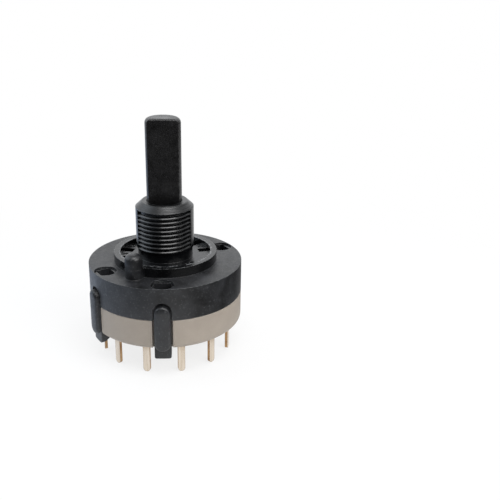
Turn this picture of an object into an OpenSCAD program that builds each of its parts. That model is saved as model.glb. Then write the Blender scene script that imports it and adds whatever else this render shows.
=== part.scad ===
/* [Body] */
// Diameter of the round body, cover and base alike
body_d = 26.7; // [26:0.1:28]
// Height of the base's side between its underside and the split line
base_h = 5.3; // [4.4:0.1:6.5]
// Height of the cover's side between the split line and the top face
cover_h = 5.6; // [5.2:0.1:7]
// Thickness of the base's floor
floor_t = 2; // [1.8:0.1:2.4]
// Radius of the base's lower outer edge
base_edge_r = 0.8; // [0.4:0.1:1.4]
// Thickness of the cover's side wall and of the clip arms
wall_t = 0.95; // [0.8:0.05:1.1]
// Thickness of the cover's top plate
plate_t = 1.5; // [1.2:0.1:1.8]
// Thickness of the plate under the recess
ceiling_t = 1.6; // [1.3:0.1:1.9]

/* [Collar, bush and peg] */
// Outer diameter of the collar that the panel rests on
collar_d = 17.9; // [17.2:0.1:18.6]
// Height of the collar over the top face
collar_h = 1.7; // [1.3:0.1:2.2]
// Diameter of the recess inside the collar
recess_d = 15.7; // [15:0.1:16.2]
// Depth of the recess below the collar's top
recess_h = 0.8; // [0.4:0.1:1]
// Major diameter of the bush's thread
bush_d = 10; // [9.5:0.1:10.5]
// Height of the bush over the collar
bush_h = 9.1; // [6:0.1:12]
// Diameter of the bush's neck below the thread
neck_d = 9.5; // [9:0.1:9.9]
// Height of the neck over the recess floor
neck_h = 1.8; // [1:0.1:2.5]
// Height of the bevel at the bush's top
bevel_h = 1; // [0.5:0.1:1.4]
// Width of the bevel at the bush's top
bevel_w = 1.1; // [0.6:0.05:1.4]
// Diameter of the locating peg
peg_d = 2.95; // [2.5:0.05:3.2]
// Distance of the peg from the shaft's axis
peg_r = 9.6; // [9.3:0.1:10]
// Height of the peg over the top face
peg_h = 4.1; // [3:0.1:5]
// Width of the step at the peg's foot, which stays below the panel
peg_step = 0.17; // [0.16:0.01:0.3]
// Radius of the peg's rounded end
peg_round = 1; // [0.4:0.1:1.2]

/* [Shaft] */
// Diameter of the shaft
shaft_d = 6; // [5.5:0.05:6.4]
// Length of the shaft over the bush
shaft_l = 14.2; // [8:0.1:40]
// Distance from the flat to the shaft's far side
flat_across = 4.5; // [3.8:0.1:5.2]
// Length of the flat
flat_l = 17.2; // [16:0.1:20]
// Radius of the rounded edge at the shaft's end
shaft_round = 0.8; // [0.4:0.05:1]
// Radius of the rounded edge at the flat's top
flat_round = 0.35; // [0.2:0.05:0.6]
// Gap all round between the shaft and the bush, and at the shaft's lower pivot
shaft_gap = 0.05; // [0.02:0.01:0.1]

/* [Snap clips] */
// Width of a clip's arm and foot
arm_w = 2.8; // [2.4:0.1:3]
// Width of the rib along a clip
rib_w = 2.65; // [2.2:0.05:2.8]
// How far the rib stands out from the body
rib_out = 0.8; // [0.5:0.05:1]
// Radius of the rib's rounded edges
rib_edge = 0.45; // [0.2:0.05:0.5]
// Height of the rib's top over the split line
rib_up = 2.65; // [2:0.05:3]
// Height of a clip's foot below the base
foot_h = 1.7; // [1.2:0.05:2.2]
// How far the hook reaches in under the base
hook_l = 1.2; // [0.9:0.1:1.3]
// Gap between a clip and the base
clip_gap = 0.1; // [0.05:0.01:0.2]
// Diameter of the shallow cup over each clip
cup_d = 3.85; // [3:0.05:3.9]
// Depth of the cup
cup_h = 0.3; // [0.2:0.05:0.6]
// Width of the tool hole in the cup's floor
tool_w = 3; // [2.6:0.1:3.4]

/* [Index mechanism] */
// Width of the gap between the cover's wall and its detent ring
channel_w = 2.2; // [2:0.05:2.4]
// Thickness of the detent ring behind a notch
ring_t = 0.5; // [0.4:0.05:0.7]
// Depth of a detent notch
notch_h = 0.55; // [0.3:0.05:0.7]
// Radius of a detent notch's curve
notch_round = 3.2; // [2.2:0.1:3.4]
// Diameter of a detent ball
ball_d = 2.5; // [2:0.1:2.7]
// Thickness of the index wheel
wheel_t = 3.6; // [3.3:0.1:3.8]
// Diameter of the detent springs' wire
wire_d = 0.3; // [0.2:0.02:0.36]
// Width of a slot for the stop ring's tab
slot_w = 1.6; // [1.2:0.1:1.8]
// Length of a slot for the stop ring's tab
slot_l = 1.95; // [1.4:0.05:2.2]

/* [Contacts] */
// Length of a terminal below the base
pin_l = 5.4; // [3.5:0.1:8]
// Width of a terminal's blade
pin_w = 1.2; // [0.8:0.05:1.3]
// Thickness of the terminals' metal
pin_t = 0.5; // [0.4:0.02:0.6]
// Width of a terminal's shoulder where it leaves the base
shoulder_w = 1.45; // [1.35:0.05:1.6]
// Distance from the cover wall's inner face to the middle of the outer terminals
pin_inset = 1.15; // [1:0.05:1.3]
// Distance of the common terminal's blade from the shaft's axis
common_r = 5; // [4.9:0.05:5.2]
// Width of a contact pad
pad_w = 1.8; // [1.5:0.1:2]
// Thickness of the contact rotor
rotor_t = 1; // [0.8:0.1:1.2]
// Height of the wiper's space between the base's deck and the contact rotor
wiper_h = 0.8; // [0.7:0.05:1]
// Thickness of the wiper's spring sheet
wiper_t = 0.2; // [0.15:0.01:0.25]

/* [Hidden] */
$fn = 96;
positions = 12;
step = 360 / positions;
clip_azimuths = [0, -60, 120, 180];
peg_azimuth = -30;
stop_azimuth = 75;
lug_azimuth = -90;
common_azimuth = -75;
wiper_azimuth = 15;
ball_azimuths = [90, -90];

// Heights, counted up from the tips of the terminals
base_z = pin_l;
deck_z = base_z + floor_t;
split_z = base_z + base_h;
face_z = split_z + cover_h;
collar_z = face_z + collar_h;
recess_z = collar_z - recess_h;
thread_z = recess_z + neck_h;
bush_z = collar_z + bush_h;
shaft_z = bush_z + shaft_l;
plate_z = face_z - plate_t;
ceiling_z = recess_z - ceiling_t;
foot_z = base_z - foot_h;
rib_z = base_z - 2 * clip_gap;
rotor_z = deck_z + wiper_h;
wheel_gap = 0.4;
wheel_z = rotor_z + rotor_t + wheel_gap;
ball_z = wheel_z + wheel_t / 2;

// Radii, counted in from the body's side
body_r = body_d / 2;
wall_r = body_r - wall_t;
notch_in_r = wall_r - clip_gap;
rim_wall = 0.5;
rim_r = notch_in_r - rim_wall;
ring_r = wall_r - channel_w;
crest_r = ring_r - ring_t - notch_h;
wheel_r = crest_r - 0.45;
rotor_r = crest_r - 0.35;
pin_r = wall_r - pin_inset;
pad_r = rotor_r - pad_w / 2 + 0.2;
cup_r = body_r - cup_d / 2 - 0.075;
slot_r = recess_d / 2 - slot_l;
plate_in_r = crest_r - 0.6;
common_in_r = common_r - 1.3;
common_out_r = common_r + 0.9;
bore_r = shaft_d / 2 + shaft_gap;
flat_y = flat_across - shaft_d / 2;

// Small clearances and edges inside
running_gap = 0.1;
seat_gap = 0.02;
split_bevel = 0.15;
spigot_h = 1;
bite = 0.5;

// Index parts
ball_r = ball_d / 2;
pocket_r = ball_r + 0.05;
pocket_end_r = 2.4;
ball_rest_r = crest_r - 0.03 - ball_r;
lug_half_angle = 8.4;
stop_half_angle = 6;

// Spindle's lower drive and pivot
drive_r = 2.4;
drive_flat = 1.9;
pivot_r = 1.5;
pivot_z = base_z + 1;

function terminal_azimuth(i) = step * (i - 0.5);
function arc(cx, cy, r, from, to, n) =
    [for (i = [0 : n]) let (a = from + (to - from) * i / n) [cx + r * cos(a), cy + r * sin(a)]];

// Turns what is modelled at the front to an azimuth, counted from the front towards the right
module at(azimuth) {
    rotate([0, 0, azimuth])
        children();
}

// Ring of rectangular section about the shaft's axis
module tube(r_in, r_out, z_low, z_high) {
    rotate_extrude()
        translate([r_in, z_low])
            square([r_out - r_in, z_high - z_low]);
}

// Box across the front, between two distances from the axis
module front_box(w, r_in, r_out, z_low, z_high) {
    translate([-w / 2, -r_out, z_low])
        cube([w, r_out - r_in, z_high - z_low]);
}

// Outline in the front plane, carried outward between two distances from the axis
module front_outline(r_in, r_out) {
    translate([0, -r_in, 0])
        rotate([90, 0, 0])
            linear_extrude(r_out - r_in)
                children();
}

// Section through the front, given as distance and height, carried across a width
module front_section(w) {
    translate([w / 2, 0, 0])
        rotate([90, 0, -90])
            linear_extrude(w)
                children();
}

// Upright slot outline with round ends
module stadium(r, z_low, z_high) {
    translate([0, z_low + r])
        circle(r);
    translate([0, z_high - r])
        circle(r);
    translate([-r, z_low + r])
        square([2 * r, z_high - z_low - 2 * r]);
}

// Threaded bush as a plain cylinder of the major diameter, over a narrower neck, with a bevelled top
module bush() {
    tube(bore_r, neck_d / 2, recess_z - bite, thread_z);
    rotate_extrude()
        polygon([
            [bore_r, thread_z],
            [bush_d / 2, thread_z],
            [bush_d / 2, bush_z - bevel_h],
            [bush_d / 2 - bevel_w, bush_z],
            [bore_r, bush_z]
        ]);
}

// Panel peg with a rounded end, part of the collar's wall
module peg() {
    foot_r = peg_d / 2 + peg_step;
    at(peg_azimuth)
        translate([0, -peg_r, 0])
            rotate_extrude()
                polygon(concat(
                    [[0, face_z - bite], [foot_r, face_z - bite], [foot_r, collar_z], [peg_d / 2, collar_z]],
                    arc(peg_d / 2 - peg_round, face_z + peg_h - peg_round, peg_round, 0, 90, 8),
                    [[0, face_z + peg_h]]
                ));
}

// Ring inside the cover, with one rounded notch for each switch position
module detent_ring() {
    difference() {
        tube(crest_r, ring_r, deck_z + seat_gap, plate_z + bite);
        for (i = [1 : positions])
            at(step * i)
                translate([0, -(crest_r + notch_h - notch_round), deck_z])
                    cylinder(r = notch_round, h = plate_z + seat_gap - deck_z);
    }
}

// Fixed stop under the ceiling, where the spindle's lug ends its travel both ways
module fixed_stop() {
    at(stop_azimuth - 90 - stop_half_angle)
        rotate_extrude(angle = 2 * stop_half_angle)
            translate([slot_r + running_gap, wheel_z + wheel_t + 2 * running_gap])
                square([crest_r - slot_r, ceiling_z + bite - wheel_z - wheel_t - 2 * running_gap]);
}

// Half outline of the rib's cross-section, from its middle out: a crowned face with rounded edges
function rib_half() =
    let (half = rib_w / 2, edge = min(rib_edge, rib_out, half), flat = half - edge, crown = rib_out * 0.12)
    concat(
        [[0, -bite], [half, -bite]],
        arc(flat, rib_out - crown - edge, edge, 0, 75, 5),
        [for (i = [3 : -1 : 0]) [flat * i / 4, rib_out - crown * pow(i / 4, 2)]]
    );

// Rib along a clip: the section carried down between two half domes of the same outline
module rib() {
    low = rib_z + rib_w / 2;
    high = split_z + rib_up - rib_w / 2;
    translate([0, -body_r, 0]) {
        for (z = [low, high])
            translate([0, 0, z])
                rotate([90, 0, 0])
                    rotate_extrude()
                        polygon(rib_half());
        translate([0, 0, low])
            linear_extrude(high - low)
                for (side = [0, 1])
                    mirror([side, 0])
                        mirror([0, 1])
                            polygon(rib_half());
    }
}

// One clip: arm, hooked foot with a lead-in inside, and the rib along it
module clip() {
    hook_r = wall_r - hook_l;
    lead_w = wall_t * 0.65;
    lead_h = foot_h * 0.65;
    corner_r = 0.3;
    intersection() {
        front_section(arm_w)
            polygon([
                [wall_r, split_z + bite],
                [body_r + bite, split_z + bite],
                [body_r + bite, foot_z],
                [body_r - lead_w, foot_z],
                [hook_r, foot_z + lead_h],
                [hook_r, base_z - clip_gap / 2],
                [wall_r, base_z - clip_gap / 2]
            ]);
        front_outline(hook_r - 1, body_r + 1) {
            for (x = [-1, 1])
                translate([x * (arm_w / 2 - corner_r), foot_z + corner_r])
                    circle(corner_r);
            translate([-arm_w / 2, foot_z + corner_r])
                square([arm_w, split_z]);
            translate([-arm_w / 2 + corner_r, foot_z])
                square([arm_w - 2 * corner_r, split_z]);
        }
        cylinder(r = body_r, h = shaft_z);
    }
    rib();
}

// What is cut over a clip: the arched pocket round the rib's top, the cup and the tool hole
module clip_cuts() {
    pocket_gap = 0.22;
    pocket_top_gap = 0.5;
    pocket_h = 0.45;
    front_outline(body_r - pocket_h, body_r + 1)
        stadium(rib_w / 2 + pocket_gap, split_z - rib_w, split_z + rib_up + pocket_top_gap);
    translate([0, -cup_r, face_z - cup_h])
        cylinder(d = cup_d, h = 2 * cup_h);
    intersection() {
        front_box(tool_w, ring_r - 0.15, wall_r + running_gap, plate_z - bite, face_z);
        translate([0, -cup_r, 0])
            cylinder(d = cup_d - 0.06, h = collar_z);
    }
}

// Moulded cover: top plate, wall, collar, bush, peg, detent ring and four snap clips in one piece
module cover() {
    color([0.17, 0.175, 0.18]) {
        difference() {
            union() {
                tube(wall_r, body_r, split_z, face_z);
                tube(plate_in_r, body_r, plate_z, face_z);
                tube(bore_r, plate_in_r + bite, ceiling_z, face_z - 2 * running_gap);
                tube(bore_r, recess_d / 2 + 3 * running_gap, ceiling_z, recess_z);
                tube(recess_d / 2, collar_d / 2, face_z - bite, collar_z);
                peg();
                detent_ring();
            }
            for (a = clip_azimuths)
                at(a)
                    clip_cuts();
            tube(0, slot_r - bite, 0, plate_z);
            for (i = [1 : positions])
                if (terminal_azimuth(i) != stop_azimuth)
                    at(terminal_azimuth(i))
                        front_box(slot_w, slot_r, recess_d / 2, ceiling_z - 1, recess_z + 1);
        }
        bush();
        fixed_stop();
        for (a = clip_azimuths)
            at(a)
                clip();
    }
}

// Where a terminal's blade and pad lie, grown by a gap, for the terminal itself and for its slot in the base
module contact_pad(gap) {
    front_box(pad_w + 2 * gap, pad_r - pad_w / 2 - gap, pin_r + pin_t / 2 + gap, deck_z - pin_t, deck_z);
}

module blade(r) {
    shoulder_h = 0.45;
    front_outline(r - pin_t / 2, r + pin_t / 2) {
        translate([0, pin_w / 2])
            circle(pin_w / 2);
        translate([-pin_w / 2, pin_w / 2])
            square([pin_w, base_z - pin_w / 2]);
        translate([-shoulder_w / 2, base_z - shoulder_h])
            square([shoulder_w, deck_z - base_z + shoulder_h]);
    }
}

module blade_slot(r) {
    half_t = pin_t / 2 + seat_gap;
    front_box(shoulder_w + 2 * seat_gap, r - half_t, r + half_t, base_z - 1, deck_z);
}

// Outer terminal: a blade bent in over the deck to a contact pad
module terminal(i) {
    color([0.80, 0.75, 0.64])
        at(terminal_azimuth(i)) {
            blade(pin_r);
            contact_pad(0);
        }
}

// Common terminal: a flat contact ring with one blade bent down from it
module common_terminal() {
    color([0.80, 0.75, 0.64]) {
        tube(common_in_r, common_out_r, deck_z - pin_t, deck_z);
        at(common_azimuth)
            blade(common_r);
    }
}

// Moulded base: floor, rim with a spigot inside the cover, notches for the clips, and seats for the contacts
module base() {
    relief_h = 0.7;
    color([0.66, 0.63, 0.58])
        difference() {
            rotate_extrude()
                polygon(concat(
                    [[0, base_z]],
                    arc(body_r - base_edge_r, base_z + base_edge_r, base_edge_r, -90, 0, 8),
                    [
                        [body_r, split_z - split_bevel],
                        [body_r - split_bevel, split_z],
                        [notch_in_r, split_z],
                        [notch_in_r, split_z + spigot_h],
                        [rim_r, split_z + spigot_h],
                        [rim_r, deck_z],
                        [0, deck_z]
                    ]
                ));
            for (a = clip_azimuths)
                at(a)
                    front_box(arm_w + 6 * clip_gap, notch_in_r, body_r + 1, base_z - 1, split_z + 1);
            for (i = [1 : positions])
                at(terminal_azimuth(i)) {
                    blade_slot(pin_r);
                    translate([0, 0, seat_gap])
                        contact_pad(seat_gap);
                    translate([0, 0, -seat_gap])
                        contact_pad(seat_gap);
                }
            translate([0, 0, -seat_gap])
                tube(common_in_r - seat_gap, common_out_r + seat_gap, deck_z - pin_t, deck_z + 1);
            at(common_azimuth)
                blade_slot(common_r);
            translate([0, 0, pivot_z - running_gap])
                cylinder(r = pivot_r + shaft_gap, h = deck_z);
            tube(common_r + 1.5, pin_r - 1.6, base_z - 1, base_z + relief_h);
        }
}

// Round bar with two flats, which carries the contact rotor round
module drive_bar(gap, z_low, z_high) {
    intersection() {
        translate([0, 0, z_low])
            cylinder(r = drive_r + gap, h = z_high - z_low);
        front_box(2 * drive_r + 1, -drive_flat - gap, drive_flat + gap, z_low, z_high);
    }
}

// Spindle: flatted shaft, thrust shoulder, index wheel with its stop lug and ball pockets, drive and pivot
module spindle() {
    shoulder_r = 4.2;
    color([0.19, 0.19, 0.195])
        difference() {
            union() {
                rotate_extrude()
                    polygon(concat(
                        [
                            [0, wheel_z],
                            [wheel_r, wheel_z],
                            [wheel_r, wheel_z + wheel_t],
                            [shoulder_r, wheel_z + wheel_t],
                            [shoulder_r, ceiling_z - running_gap],
                            [shaft_d / 2, ceiling_z - running_gap]
                        ],
                        arc(shaft_d / 2 - shaft_round, shaft_z - shaft_round, shaft_round, 0, 90, 5),
                        [[0, shaft_z]]
                    ));
                drive_bar(0, rotor_z - 2 * running_gap, wheel_z + bite);
                translate([0, 0, pivot_z])
                    cylinder(r = pivot_r, h = rotor_z + bite - pivot_z);
                at(lug_azimuth - 90 - lug_half_angle)
                    rotate_extrude(angle = 2 * lug_half_angle)
                        translate([slot_r + 2 * running_gap, wheel_z + wheel_t - bite])
                            square([wheel_r - slot_r - 4 * running_gap, ceiling_z - wheel_z - wheel_t]);
            }
            front_box(shaft_d, flat_y, shaft_d, shaft_z - flat_l, shaft_z + 1);
            front_section(shaft_d)
                polygon(concat(
                    [[flat_y + 1, shaft_z - flat_round]],
                    arc(flat_y - flat_round, shaft_z - flat_round, flat_round, 0, 90, 4),
                    [[flat_y - flat_round, shaft_z + 1], [flat_y + 1, shaft_z + 1]]
                ));
            for (a = ball_azimuths)
                at(a)
                    translate([0, -pocket_end_r, ball_z])
                        rotate([90, 0, 0])
                            cylinder(r = pocket_r, h = wheel_r);
        }
}

// Contact rotor: a disc on the spindle's drive, with a stake that holds the wiper
module contact_rotor() {
    color([0.86, 0.84, 0.78])
        difference() {
            union() {
                translate([0, 0, rotor_z])
                    cylinder(r = rotor_r, h = rotor_t);
                at(wiper_azimuth)
                    translate([0, -(common_r + pad_r) / 2, rotor_z - wiper_t - 0.1])
                        cylinder(r = 0.45, h = rotor_t);
            }
            drive_bar(seat_gap, 0, shaft_z);
        }
}

// Wiper: a bowed strip that bridges the common ring and one outer pad, with a round contact at each end
module wiper_contact() {
    tip_z = deck_z + seat_gap;
    tip_r = 0.4;
    arm_z = tip_z + 0.2;
    flat_z = rotor_z - wiper_t;
    reach = 0.45;
    bend = 0.6;
    mid = (common_r + pad_r) / 2;
    color([0.86, 0.66, 0.38])
        at(wiper_azimuth) {
            difference() {
                front_section(pad_w + 0.2)
                    polygon([
                        [common_r - reach, arm_z],
                        [mid - bend, flat_z],
                        [mid + bend, flat_z],
                        [pad_r + reach, arm_z],
                        [pad_r + reach, arm_z + wiper_t],
                        [mid + bend, flat_z + wiper_t],
                        [mid - bend, flat_z + wiper_t],
                        [common_r - reach, arm_z + wiper_t]
                    ]);
                translate([0, -mid, deck_z])
                    cylinder(r = 0.45 + seat_gap, h = wiper_h);
            }
            for (r = [common_r, pad_r])
                translate([0, -r, tip_z + tip_r])
                    intersection() {
                        sphere(tip_r);
                        translate([0, 0, -tip_r])
                            cube([1, 1, tip_r * 1.3], center = true);
                    }
        }
}

// Detent ball, drawn where it clears the crests between the notches
module detent_ball(i) {
    color([0.75, 0.76, 0.78])
        at(ball_azimuths[i - 1])
            translate([0, -ball_rest_r, ball_z])
                sphere(ball_r);
}

// Detent spring between the pocket's end and the ball, with its end turns closed
module detent_spring(i) {
    sides = 6;
    turns = 7;
    steps_per_turn = 18;
    wire_r = wire_d / 2;
    coil_r = pocket_r - 0.15 - wire_r;
    start = pocket_end_r + wire_r + seat_gap;
    end = ball_rest_r - sqrt(pow(ball_r + wire_r + seat_gap, 2) - pow(coil_r, 2));
    closed = wire_d * 1.04;
    open = (end - start - 2 * closed) / (turns - 2);
    rings = turns * steps_per_turn;
    function along(t) =
        start + closed * min(t, 1) + open * max(0, min(t - 1, turns - 2)) + closed * max(0, t - turns + 1);
    points = [for (k = [0 : rings]) let (t = k / steps_per_turn, a = 360 * t)
        for (s = [0 : sides - 1]) let (b = 360 * s / sides, r = coil_r + wire_r * cos(b))
            [r * cos(a), r * sin(a), along(t) + wire_r * sin(b)]];
    walls = [for (k = [0 : rings - 1], s = [0 : sides - 1]) let (from = k * sides, next = (s + 1) % sides)
        [from + s, from + sides + s, from + sides + next, from + next]];
    caps = [[for (s = [0 : sides - 1]) s], [for (s = [sides - 1 : -1 : 0]) rings * sides + s]];
    color([0.70, 0.71, 0.73])
        at(ball_azimuths[i - 1])
            translate([0, 0, ball_z])
                rotate([90, 0, 0])
                    polyhedron(points, concat(walls, caps));
}

cover();
base();
spindle();
contact_rotor();
wiper_contact();
common_terminal();
for (i = [1 : positions])
    terminal(i);
for (i = [1, 2])
    detent_ball(i);
for (i = [1, 2])
    detent_spring(i);
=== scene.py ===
import math

import bmesh
import bpy
import numpy as np
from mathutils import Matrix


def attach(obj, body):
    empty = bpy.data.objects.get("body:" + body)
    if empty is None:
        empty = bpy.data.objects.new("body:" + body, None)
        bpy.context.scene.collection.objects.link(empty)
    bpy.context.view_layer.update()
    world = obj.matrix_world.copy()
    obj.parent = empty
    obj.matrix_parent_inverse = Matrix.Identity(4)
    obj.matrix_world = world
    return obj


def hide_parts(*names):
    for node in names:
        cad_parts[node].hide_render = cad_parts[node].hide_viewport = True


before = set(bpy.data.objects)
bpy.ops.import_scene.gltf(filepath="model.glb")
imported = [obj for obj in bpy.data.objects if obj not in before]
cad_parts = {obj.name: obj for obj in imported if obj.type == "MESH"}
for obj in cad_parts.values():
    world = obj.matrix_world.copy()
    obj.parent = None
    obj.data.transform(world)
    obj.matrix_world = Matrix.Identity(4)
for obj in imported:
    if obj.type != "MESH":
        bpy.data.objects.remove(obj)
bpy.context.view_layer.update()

# Camera: a little above the bush, at the photograph's viewing angle and perspective. It stands 132 mm from
# the middle of the cover's top face, so near edges look a little larger than far ones.
MM = 0.001
camera_data = bpy.data.cameras.new("camera")
camera_data.sensor_width = 36.0
camera_data.lens = 53.565
camera_data.clip_start = 0.005
camera_data.clip_end = 20.0
camera = bpy.data.objects.new("camera", camera_data)
camera.location = (7.221 * MM, -122.208 * MM, 66.409 * MM)
camera.rotation_euler = [math.radians(a) for a in (68.3554, -1.191, -3.1108)]
bpy.context.scene.collection.objects.link(camera)
bpy.context.scene.camera = camera


# Cover: one black glass-filled nylon moulding with the top plate, collar, bush and snap clips. Its tool has
# a fine spark-eroded texture. The bush's M10 x 0.75 thread is moulded in two halves, so it stops at a plain
# strip on either side, where the tool's slides meet.
class Value:
    """A socket of a material's node tree; arithmetic on it adds Math nodes to the tree."""

    def __init__(self, tree, socket):
        self.tree = tree
        self.socket = socket

    def node(self, kind, settings=None, inputs=None, output=0):
        """Adds any other node: its settings first, then the values or links of its sockets."""
        made = self.tree.nodes.new(kind)
        for name, setting in (settings or {}).items():
            setattr(made, name, setting)
        for name, given in (inputs or {}).items():
            if isinstance(given, Value):
                self.tree.links.new(given.socket, made.inputs[name])
            else:
                made.inputs[name].default_value = given
        return Value(self.tree, made.outputs[output])

    def math(self, operation, first, second=0.0):
        return self.node("ShaderNodeMath", {"operation": operation}, {0: first, 1: second})

    def __add__(self, other):
        return self.math("ADD", self, other)

    def __sub__(self, other):
        return self.math("SUBTRACT", self, other)

    def __rsub__(self, other):
        return self.math("SUBTRACT", other, self)

    def __mul__(self, other):
        return self.math("MULTIPLY", self, other)

    def __truediv__(self, other):
        return self.math("DIVIDE", self, other)

    def __abs__(self):
        return self.math("ABSOLUTE", self)

    __radd__ = __add__
    __rmul__ = __mul__

    def ramp(self, low, high):
        """0 at low and beyond it, 1 at high and beyond it, and straight between."""
        limits = {"Value": self, "From Min": low, "From Max": high}
        return self.node("ShaderNodeMapRange", {"clamp": True}, limits)

    def part(self, axis):
        """The x, y or z of this vector, for axis 0, 1 or 2."""
        return self.node("ShaderNodeSeparateXYZ", None, {0: self}, axis)

    def vector(self, operation, other=(0.0, 0.0, 0.0), output=0):
        """Vector Math on this vector, whose output 0 is a vector and output 1 a number."""
        return self.node("ShaderNodeVectorMath", {"operation": operation}, {0: self, 1: other}, output)

    def dot(self, other):
        return self.vector("DOT_PRODUCT", other, 1)

    def flattened(self):
        """This vector with its z taken as 0."""
        return self.vector("MULTIPLY", (1.0, 1.0, 0.0))

    def noise(self, scale, detail=2.0, rough=0.5, stretch=(1.0, 1.0, 1.0)):
        """Noise on this vector, with features about 1/scale metres wide."""
        place = self.node("ShaderNodeMapping", None, {"Vector": self, "Scale": stretch})
        return self.node("ShaderNodeTexNoise", None,
                         {"Vector": place, "Scale": scale, "Detail": detail, "Roughness": rough})

    def colours(self, first, second):
        """The first colour where this is 0 and the second where it is 1."""
        mix = self.node("ShaderNodeMix", {"data_type": "RGBA"}, {0: self}, 2)
        for socket, given in ((6, first), (7, second)):
            if isinstance(given, Value):
                self.tree.links.new(given.socket, mix.socket.node.inputs[socket])
            else:
                mix.socket.node.inputs[socket].default_value = (*given, 1.0)
        return mix

    def feed(self, shader, name):
        """Links this to a socket of the shader."""
        self.tree.links.new(self.socket, shader.inputs[name])


def new_material(name):
    """An empty material: the material, its shader node, and its Object coordinates as a Value."""
    material = bpy.data.materials.new(name)
    material.use_nodes = True
    tree = material.node_tree
    coordinates = tree.nodes.new("ShaderNodeTexCoord")
    return material, tree.nodes["Principled BSDF"], Value(tree, coordinates.outputs["Object"])


def rounded_normal(place, radius):
    """The surface's normal as if every edge had this radius."""
    return place.node("ShaderNodeBevel", {"samples": 6}, {"Radius": radius})


def own_normal(place):
    """The surface's normal as it is modelled."""
    return place.node("ShaderNodeNewGeometry", None, None, 1)


def tool_zones(place):
    """The parts of the cover that look unlike the rest of it, each as a mask from 0 to 1: what the tool has
    polished (all above the top face but the peg, and the cups' floors), the thread, the bush's bevel, the
    turning marks on the bevel, and the lip round the recess. Heights and radii are in millimetres."""
    top_face, collar_top, thread_foot, thread_top, lip_radius = 16.3, 18.0, 18.4, 26.0, 7.9
    peg_axis, peg_reach = (-4.8 * MM, -8.314 * MM, 0.0), 1.7
    height = place.part(2) / MM
    radius = place.flattened().vector("LENGTH", output=1)
    upward = own_normal(place).part(2).ramp(0.5, 0.6)
    over_cup = height.ramp(top_face - 0.10, top_face - 0.05)
    cup_floor = upward * height.ramp(top_face - 0.40, top_face - 0.35) * (1.0 - over_cup)
    off_peg = (place.flattened().vector("DISTANCE", peg_axis, 1) / MM).ramp(peg_reach, peg_reach + 0.1)
    polished = height.ramp(top_face + 0.05, top_face + 0.15) * off_peg + cup_floor
    over_thread = height.ramp(thread_top - 0.05, thread_top + 0.05)
    thread = height.ramp(thread_foot, thread_foot + 0.1) * (1.0 - over_thread)
    bevel = height.ramp(thread_top, thread_top + 0.1)
    rings = place.node("ShaderNodeCombineXYZ", None, {0: radius, 2: place.part(2)})
    turning = rings.noise(6500.0, 2.0) * bevel
    lip = abs(radius / MM - lip_radius).ramp(0.40, 0.20) * height.ramp(collar_top - 0.15, collar_top - 0.05)
    return polished, thread, bevel, turning, lip


def moulded_nylon(name, dark, light, rough, grain_depth, fibre_and_glint_colour, glint_share, fibre_share, polish=0.0):
    """Glass-filled nylon: cloudy mottling, faint short fibres at the skin in the paler colour, an eroded
    grain, and
    painted highlights on the convex edges: the paler colour in uneven dots, where the edges are also a little
    smoother, stands in for the glints of light on them. Where a polish is given, the cover's zones apply: the
    polished ones are smoother by that much, the thread is a little smoother and has no painted edge
    highlights, the bevel has turning marks, and the lip round the recess has painted glints in patchy dots."""
    material, shader, place = new_material(name)
    polished, thread, bevel, turning, lip = tool_zones(place) if polish else (0.0, 0.0, 0.0, 0.0, 0.0)
    calm = 1.0 - polished * 0.9
    cloud = place.noise(420.0, 3.0, 0.55).ramp(0.35, 0.68)
    patch = place.noise(150.0, 2.0, 0.5).ramp(0.40, 0.62)
    grain = place.noise(5200.0, 3.0, 0.65)
    pits = place.noise(1500.0, 2.0, 0.6)
    fibre = place.noise(2900.0, 2.0, 0.6).ramp(0.58, 0.82)
    dots = place.noise(2300.0, 2.0, 0.6).ramp(0.42, 0.60)
    glint_spots = place.noise(1700.0, 2.0, 0.7).ramp(0.47, 0.58)
    occlusion = {"samples": 6, "only_local": True}
    open_air = place.node("ShaderNodeAmbientOcclusion", occlusion, {"Distance": 0.4 * MM}, 1).ramp(0.75, 0.92)
    bend = (1.0 - rounded_normal(place, 0.16 * MM).dot(own_normal(place))).ramp(0.0, 0.12)
    # Painted highlights: the paler colour goes in uneven dots on the convex edges and in patchy dots round
    # the recess's lip, standing in for glints of light there.
    edge = bend * dots * (1.0 - thread) * open_air
    lip_glint = lip * glint_spots * (0.5 + patch * 0.5)
    painted_glint = 1.0 - (1.0 - edge * glint_share) * (1.0 - lip_glint)
    mottled = ((cloud * 0.6 + patch * 0.4) * calm).colours(dark, light)
    fibred = (fibre * calm * fibre_share).colours(mottled, fibre_and_glint_colour)
    painted_glint.colours(fibred, fibre_and_glint_colour).feed(shader, "Base Color")
    unevenness = (grain - 0.5) * 0.25 + (cloud - 0.5) * 0.10 + (pits - 0.5) * 0.20
    smoother = polished * (1.0 - bevel * 0.35) * polish + thread * 0.05 + edge * 0.10
    (rough + unevenness * calm - smoother).feed(shader, "Roughness")
    relief = (grain + pits * 1.6 + fibre * 0.3) * (1.0 - polished * 0.93) + turning * (polish * 28.0)
    place.node("ShaderNodeBump", None, {
        "Strength": 0.6, "Distance": grain_depth, "Height": relief,
        "Normal": rounded_normal(place, 0.10 * MM)}).feed(shader, "Normal")
    shader.inputs["IOR"].default_value = 1.53
    return material


def tidy_mesh(mesh, gap):
    """Merges corners closer than the gap and turns all faces outward."""
    work = bmesh.new()
    work.from_mesh(mesh)
    bmesh.ops.remove_doubles(work, verts=work.verts, dist=gap)
    bmesh.ops.dissolve_degenerate(work, edges=work.edges, dist=gap)
    bmesh.ops.recalc_face_normals(work, faces=work.faces)
    work.to_mesh(mesh)
    work.free()


def add_object(name, mesh):
    """Puts a mesh into the scene as an object at the origin."""
    made = bpy.data.objects.new(name, mesh)
    bpy.context.scene.collection.objects.link(made)
    return made


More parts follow.
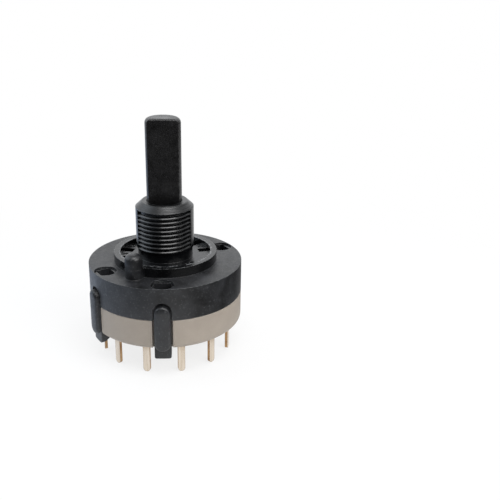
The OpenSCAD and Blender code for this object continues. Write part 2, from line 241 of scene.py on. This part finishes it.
def skin(name, grid, wrap_rows=False, wrap_columns=False, fill_ends=False):
    """An object at the origin from a grid of points in millimetres. Every cell is one four-sided face. Rows
    or columns wrap round where asked, the first and last column are filled where asked, and meeting corners
    merge."""
    rows, columns = grid.shape[:2]
    corner = np.arange(rows * columns).reshape(rows, columns)
    ends = [corner[:, 0].tolist(), corner[:, -1].tolist()] if fill_ends else []
    corner = np.vstack([corner, corner[:1]]) if wrap_rows else corner
    corner = np.hstack([corner, corner[:, :1]]) if wrap_columns else corner
    cells = np.stack([corner[:-1, :-1], corner[:-1, 1:], corner[1:, 1:], corner[1:, :-1]], -1)
    mesh = bpy.data.meshes.new(name)
    mesh.from_pydata((grid.reshape(-1, 3) * MM).tolist(), [], cells.reshape(-1, 4).tolist() + ends)
    tidy_mesh(mesh, 0.0002 * MM)
    return add_object(name, mesh)


def cut(piece, cutters):
    """Takes the cutters away from a piece, in their order, and keeps the result as its mesh."""
    for cutter in cutters:
        step = piece.modifiers.new("cut", "BOOLEAN")
        step.operation = "DIFFERENCE"
        step.solver = "EXACT"
        step.object = cutter
    bpy.context.view_layer.update()
    done = bpy.data.meshes.new_from_object(piece.evaluated_get(bpy.context.evaluated_depsgraph_get()))
    piece.modifiers.clear()
    piece.data = done
    for cutter in cutters:
        bpy.data.objects.remove(cutter)


def thread_groove(name, azimuth):
    """The space round one threaded half of the bush: a band whose inner wall is a helical groove. The inner
    radius is major - depth * share. Over one pitch the share rises from just under 0 at a crest, clear of the
    bush, by a small bevel to 1 at the narrow root, and falls back. A point of the profile at height z lies at
    z + pitch * angle / 2 pi, but the band's flat top stays level. Rows run up the profile and back down the
    outside, and columns run round from one end of the half to the other."""
    major, pitch, depth, crests, low, lead_in, top = 5.0, 0.75, 0.44, 9, 19.2, -0.3, 26.0
    outer, clear, half_angle, columns = 5.5, -0.03, 64.0, 97
    groove = np.array([[-0.01, clear], [0.06, 0.10], [0.35, 1.0], [0.40, 1.0], [0.67, clear]])
    steps = (np.arange(crests - 1) * pitch)[:, None, None]
    profile = (groove + np.concatenate([steps, steps * 0.0], -1)).reshape(-1, 2)
    last = groove[:3] + [(crests - 1) * pitch, 0.0]
    profile = np.vstack([[[lead_in, clear]], profile, last])
    z = low + profile[:, 0]
    r = major - depth * profile[:, 1]
    climb = np.concatenate([[1.0], np.ones(len(z)), [0.0, 0.0]])[:, None]
    z = np.concatenate([z[:1], z, [top, top]])[:, None]
    r = np.concatenate([[outer], r, [major - depth, outer]])[:, None]
    angle = np.radians(np.linspace(-half_angle, half_angle, columns))[None, :]
    turn = angle + math.radians(azimuth)
    height = z + climb * angle / (2 * math.pi) * pitch
    grid = np.stack([r * np.sin(turn), -r * np.cos(turn), height], -1)
    return skin(name, grid, wrap_rows=True, fill_ends=True)


def peg_trim():
    """The space round the peg's foot that is outside the collar: a C-shaped band about the peg's axis. Its
    inner radius is that of the peg's straight part, and its outer one is where a ray from the peg meets the
    collar, or a fixed reach where it meets none."""
    distance, azimuth, collar = 9.6, -30.0, 8.97
    inner, reach, low, high = 1.49, 1.95, 16.33, 18.2
    angle = np.radians(np.linspace(-179.0, 179.0, 359))
    along = distance * np.cos(angle)
    under = np.maximum(along ** 2 - distance ** 2 + collar ** 2, 0.0)
    meets = np.where((under > 0.0) & (along < 0.0), -along - np.sqrt(under), reach)
    free = meets > inner
    angle, meets = angle[free], np.minimum(meets[free], reach)
    r = np.stack([0 * meets + inner, meets, meets, 0 * meets + inner])
    r[:, [0, -1]] = inner
    out = distance + r * np.cos(angle)
    side = r * np.sin(angle)
    a = math.radians(azimuth)
    x = out * math.sin(a) + side * math.cos(a)
    y = -out * math.cos(a) + side * math.sin(a)
    height = np.array([low, low, high, high])[:, None] + 0 * r
    return skin("peg_trim", np.stack([x, y, height], -1), wrap_rows=True)


# The cover's pale grey goes on its fibres and, as painted highlights, in dots on its edges and round the
# recess's lip.
black_nylon = moulded_nylon(
    "black_nylon", dark=(0.0022, 0.0024, 0.0028), light=(0.0240, 0.0250, 0.0285), rough=0.44,
    grain_depth=0.020 * MM, fibre_and_glint_colour=(0.15, 0.155, 0.16), glint_share=0.7, fibre_share=0.46, polish=0.18)
cover_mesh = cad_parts["cover"].data.copy()
if "custom_normal" in cover_mesh.attributes:
    cover_mesh.attributes.remove(cover_mesh.attributes["custom_normal"])
tidy_mesh(cover_mesh, 0.0005 * MM)
cover = add_object("cover_moulding", cover_mesh)
# The back half goes first: in the other order the solver leaves the back groove's outer wall standing.
cut(cover, [thread_groove("groove_back", 180.0), thread_groove("groove_front", 0.0), peg_trim()])
cover.data.materials.clear()
cover.data.materials.append(black_nylon)
cover.data.shade_smooth()
cover.data.set_sharp_from_angle(angle=math.radians(28))
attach(cover, "housing")
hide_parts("cover")


# Position numbers: plain raised figures from 2 to 11, moulded with the cover from the same tool. They stand
# on the floor of its recess, 30 degrees apart and between its slots, each with its top outward.
def moulded_number(text, azimuth):
    """A plain number that stands proud of the recess's floor, with its top outward."""
    size, proud, sunk, radius, floor_z = 1.33, 0.12, 0.10, 6.95, 17.2
    curve = bpy.data.curves.new("number", "FONT")
    curve.body = text
    curve.size = size * MM
    curve.align_x = "CENTER"
    curve.align_y = "CENTER"
    curve.extrude = (proud + sunk) / 2 * MM
    curve.resolution_u = 4
    flat = bpy.data.objects.new("number", curve)
    mesh = bpy.data.meshes.new_from_object(flat)
    bpy.data.objects.remove(flat)
    points = np.empty(len(mesh.vertices) * 3)
    mesh.vertices.foreach_get("co", points)
    x, y, z = points.reshape(-1, 3).T
    a = math.radians(azimuth)
    out = radius * MM + y
    lift = (floor_z + (proud - sunk) / 2) * MM
    placed_x = out * math.sin(a) + x * math.cos(a)
    placed_y = -out * math.cos(a) + x * math.sin(a)
    placed = np.stack([placed_x, placed_y, z + lift], -1)
    mesh.vertices.foreach_set("co", placed.ravel())
    tidy_mesh(mesh, 0.0005 * MM)
    return mesh


joined = bmesh.new()
for number in range(2, 12):
    mesh = moulded_number(str(number), 60 + 30 * number)
    joined.from_mesh(mesh)
    bpy.data.meshes.remove(mesh)
numbers_mesh = bpy.data.meshes.new("position_numbers")
joined.to_mesh(numbers_mesh)
joined.free()
numbers = add_object("position_numbers", numbers_mesh)
numbers.data.materials.append(black_nylon)
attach(numbers, "housing")


# Base: the warm grey glass-filled nylon moulding that closes the cover from below. The four clips lie in its
# notches and hook under its floor, and the terminals stand in its slots.
def clad(node, material):
    """Gives a CAD node its finish."""
    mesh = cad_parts[node].data
    mesh.materials.clear()
    mesh.materials.append(material)


# The paler warm grey goes on the base's fibres and, as painted highlights, in dots on its edges.
grey_nylon = moulded_nylon(
    "grey_nylon", dark=(0.328, 0.281, 0.234), light=(0.367, 0.316, 0.265), rough=0.50,
    grain_depth=0.016 * MM, fibre_and_glint_colour=(0.50, 0.46, 0.41), glint_share=0.5, fibre_share=0.12)
clad("base", grey_nylon)

# Spindle: one black nylon moulding with the flatted shaft, the index wheel and the drive below it. It is
# drawn from its tool along the shaft. Its skin is darker and glossier than the cover's side, with a slightly
# deeper grain.
# The paler grey goes on the spindle's fibres and, as painted highlights, in dots on its edges.
shaft_nylon = moulded_nylon(
    "shaft_nylon", dark=(0.0022, 0.0020, 0.0021), light=(0.0085, 0.0080, 0.0084), rough=0.36,
    grain_depth=0.026 * MM, fibre_and_glint_colour=(0.10, 0.10, 0.104), glint_share=0.8, fibre_share=0.14)
clad("spindle", shaft_nylon)


# Terminals: brass strip, plated before it is stamped, so the faces are pale and the sheared edges show the
# brass. The common terminal and the twelve outer ones come from the same strip, and each blade stands with
# its flat side towards the shaft's axis.
def stamped_strip():
    """Plated faces, brassy sheared edges, rolling marks along the blade and a brown tarnish at the root."""
    material, shader, place = new_material("terminal_strip")
    outward = place.flattened().vector("NORMALIZE")
    face = abs(own_normal(place).dot(outward)).ramp(0.45, 0.8)
    burr = (1.0 - rounded_normal(place, 0.14 * MM).dot(own_normal(place))).ramp(0.02, 0.16)
    roll = place.noise(2600.0, 3.0, 0.6, (1.0, 1.0, 0.06))
    stain = place.noise(900.0, 3.0, 0.6)
    tarnish = (place.part(2) / MM + (stain - 0.5) * 2.5).ramp(3.6, 5.6)
    plate = roll.ramp(0.3, 0.7).colours((0.53, 0.45, 0.36), (0.70, 0.62, 0.52))
    edge = stain.ramp(0.35, 0.65).colours((0.24, 0.14, 0.07), (0.42, 0.27, 0.14))
    colour = (burr * 0.8).colours(face.colours(edge, plate), (0.17, 0.10, 0.055))
    (tarnish * 0.75).colours(colour, (0.34, 0.24, 0.15)).feed(shader, "Base Color")
    shader.inputs["Metallic"].default_value = 1.0
    (0.38 - face * 0.10 + (roll - 0.5) * 0.2 + tarnish * 0.10).feed(shader, "Roughness")
    place.node("ShaderNodeBump", None, {
        "Strength": 0.35, "Distance": 0.010 * MM, "Height": roll,
        "Normal": rounded_normal(place, 0.06 * MM)}).feed(shader, "Normal")
    return material


strip = stamped_strip()
clad("common_terminal", strip)
for i in range(1, 13):
    clad(f"terminal_{i}", strip)

# Contact rotor and wiper: a natural acetal disc keyed to the spindle, with a sprung bronze strip staked
# under it that joins the common ring to one outer pad. Both are shut inside.
acetal, shader, place = new_material("natural_acetal")
cloud = place.noise(500.0, 3.0).ramp(0.3, 0.7)
cloud.colours((0.74, 0.71, 0.63), (0.82, 0.80, 0.74)).feed(shader, "Base Color")
(0.26 + place.noise(5000.0) * 0.12).feed(shader, "Roughness")
clad("contact_rotor", acetal)

bronze, shader, place = new_material("spring_bronze")
rolled = place.noise(3000.0, 3.0, 0.6, (1.0, 0.1, 1.0))
rolled.ramp(0.3, 0.7).colours((0.60, 0.36, 0.17), (0.74, 0.49, 0.26)).feed(shader, "Base Color")
shader.inputs["Metallic"].default_value = 1.0
(0.18 + rolled * 0.2).feed(shader, "Roughness")
clad("wiper_contact", bronze)

# Detent balls and springs: ground bearing balls, pushed out by coils of drawn spring wire into the notches
# of the cover's detent ring. They lie in the two blind pockets of the index wheel.
ball_steel, shader, place = new_material("ground_steel")
ground = place.noise(1500.0, 2.0).ramp(0.4, 0.6)
ground.colours((0.66, 0.67, 0.69), (0.74, 0.75, 0.77)).feed(shader, "Base Color")
shader.inputs["Metallic"].default_value = 1.0
(0.10 + place.noise(4000.0, 3.0) * 0.08).feed(shader, "Roughness")

wire_steel, shader, place = new_material("drawn_wire")
drawn = place.noise(6000.0, 3.0, 0.6, (0.2, 1.0, 1.0))
drawn.ramp(0.35, 0.65).colours((0.50, 0.50, 0.52), (0.64, 0.64, 0.66)).feed(shader, "Base Color")
shader.inputs["Metallic"].default_value = 1.0
(0.14 + drawn * 0.25).feed(shader, "Roughness")
for i in (1, 2):
    clad(f"detent_ball_{i}", ball_steel)
    clad(f"detent_spring_{i}", wire_steel)

# Floor: a round white table that the switch stands on by its terminals' tips. The camera sees it white all
# over. In reflections its right and its front are dark, as those sides of the room are.
ring = np.array([0.0, 40.0, 100.0, 160.0])[:, None]
turn = np.radians(np.arange(0, 360, 5))[None, :]
disc = np.stack([ring * np.cos(turn), ring * np.sin(turn), 0 * ring * turn], -1)
floor = skin("floor", disc, wrap_columns=True)
white, shader, place = new_material("white_table")
shader.inputs["Base Color"].default_value = (0.80, 0.80, 0.80, 1.0)
(0.66 + place.noise(3.0, 2.0) * 0.08).feed(shader, "Roughness")
tree = white.node_tree
paths = tree.nodes.new("ShaderNodeLightPath")
camera_ray = Value(tree, paths.outputs["Is Camera Ray"])
mirror_ray = Value(tree, paths.outputs["Is Glossy Ray"]) + Value(tree, paths.outputs["Is Transmission Ray"])
x = place.part(0) / MM
y = place.part(1) / MM
reach = place.vector("LENGTH", output=1) / MM
rim = reach.ramp(25.0, 90.0)
right = x.ramp(16.0, 30.0) * (1.0 - y.ramp(30.0, 50.0))
front = reach.ramp(45.0, 62.0) * (1.0 - y.ramp(-10.0, 25.0))
back = y.ramp(15.0, 50.0)
left = (0.0 - x).ramp(0.0, 50.0)
lit = (1.0 - right) * (1.0 - front) * (1.12 - back * 0.4)
glow = tree.nodes.new("ShaderNodeEmission")
(mirror_ray * left).colours((1.0, 1.0, 1.0), (0.72, 0.86, 1.10)).feed(glow, "Color")
(camera_ray + mirror_ray * (0.06 + lit * 0.94)).feed(glow, "Strength")
blend = tree.nodes.new("ShaderNodeMixShader")
(camera_ray * (0.80 + rim * 0.20) + mirror_ray).feed(blend, 0)
tree.links.new(shader.outputs[0], blend.inputs[1])
tree.links.new(glow.outputs[0], blend.inputs[2])
tree.links.new(blend.outputs[0], tree.nodes["Material Output"].inputs[0])
floor.data.materials.append(white)

# Room and lamps: white behind and above the switch, and dark behind the camera and at the right, with one
# soft box overhead, a cooler one at the left, and a wide one high in front at the right.
world = bpy.data.worlds.new("room")
bpy.context.scene.world = world
world.use_nodes = True
tree = world.node_tree
direction = Value(tree, tree.nodes.new("ShaderNodeTexCoord").outputs["Generated"])
x, y, z = (direction.part(axis) for axis in range(3))
sky = (z * 1.6 + y * 1.1 - x.ramp(0.1, 0.9) * 0.8).ramp(0.2, 0.95)
left = (0.0 - x).ramp(0.3, 1.0)
back = y.ramp(0.4, 0.95)
zenith = z.ramp(0.55, 0.85)
room = tree.nodes["Background"]
(left * 0.6 + 0.15).colours((1.0, 1.0, 1.0), (0.78, 0.88, 1.0)).feed(room, "Color")
(0.03 + sky * 0.97 * (1.0 - zenith * 0.3) + left * 0.12 + back * 0.28).feed(room, "Strength")
pure = tree.nodes.new("ShaderNodeBackground")
pure.inputs["Color"].default_value = (1.0, 1.0, 1.0, 1.0)
blend = tree.nodes.new("ShaderNodeMixShader")
Value(tree, tree.nodes.new("ShaderNodeLightPath").outputs["Is Camera Ray"]).feed(blend, 0)
tree.links.new(room.outputs[0], blend.inputs[1])
tree.links.new(pure.outputs[0], blend.inputs[2])
tree.links.new(blend.outputs[0], tree.nodes["World Output"].inputs[0])


def soft_box(name, place, width, height, power, tint=(1.0, 1.0, 1.0)):
    """A rectangular lamp of a size and at a place in millimetres, turned towards the cover."""
    cover_middle = np.array([0.0, 0.0, 16.0])
    data = bpy.data.lights.new(name, "AREA")
    data.shape = "RECTANGLE"
    data.size = width * MM
    data.size_y = height * MM
    data.energy = power
    data.color = tint
    lamp = bpy.data.objects.new(name, data)
    lamp.location = [c * MM for c in place]
    aim = cover_middle - np.array(place, float)
    lamp.rotation_euler = (math.atan2(math.hypot(aim[0], aim[1]), -aim[2]), 0.0,
                           math.atan2(aim[1], aim[0]) - math.pi / 2)
    bpy.context.scene.collection.objects.link(lamp)


soft_box("over", place=(45, -95, 310), width=210, height=110, power=0.44)
soft_box("left", place=(-240, 20, 180), width=240, height=220, power=0.22, tint=(0.80, 0.90, 1.0))
soft_box("right", place=(160, -145, 185), width=260, height=130, power=0.50)

bpy.context.scene.view_settings.view_transform = "Standard"
